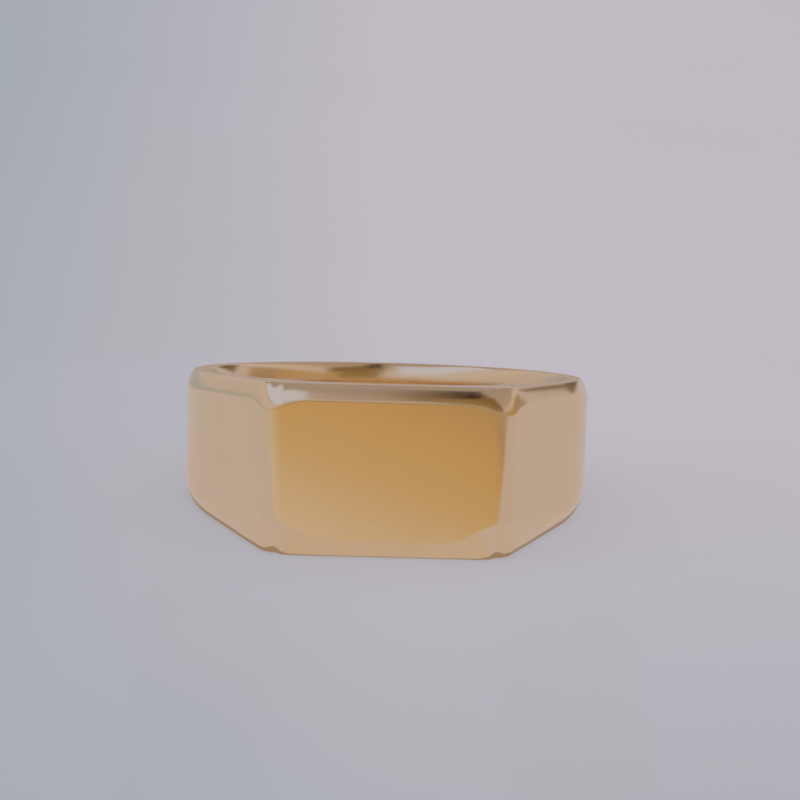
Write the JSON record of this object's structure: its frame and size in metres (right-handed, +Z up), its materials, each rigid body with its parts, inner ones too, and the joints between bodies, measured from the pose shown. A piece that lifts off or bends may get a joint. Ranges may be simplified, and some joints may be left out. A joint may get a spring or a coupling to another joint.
{
  "type": "signet ring",
  "caption": "Gold finger ring with a flat rectangular signet table, flat shoulders, a hollow head and a solid round shank that tapers to the back.",
  "frame": {"origin": "centre of the bottom of the bounding box: the middle of the plane that the ring's lower edge rests on", "axes": "+Z up; the signet face looks towards -Y and leans back by half of the ring's taper, the back of the shank is at +Y, and X runs across the finger. The finger bore leans from +Z by the same angle towards +Y."},
  "size_m": [0.022, 0.023, 0.0092],
  "materials": {
    "polished_gold": "mirror polished yellow gold with fine wear marks",
    "inner_gold": "polished yellow gold, lightly worn by the finger",
    "gold_solder": "hard gold solder, filed flush and polished"
  },
  "bodies": {
    "root": {"signet_table": "polished_gold", "left_shoulder": "polished_gold", "right_shoulder": "polished_gold", "shank": "polished_gold", "finger_lining": "inner_gold", "upper_gallery_plate": "polished_gold", "lower_gallery_plate": "polished_gold", "left_table_solder": "gold_solder", "right_table_solder": "gold_solder", "left_shank_solder": "gold_solder", "right_shank_solder": "gold_solder", "upper_gallery_solder": "gold_solder", "lower_gallery_solder": "gold_solder"}
  },
  "joints": []
}
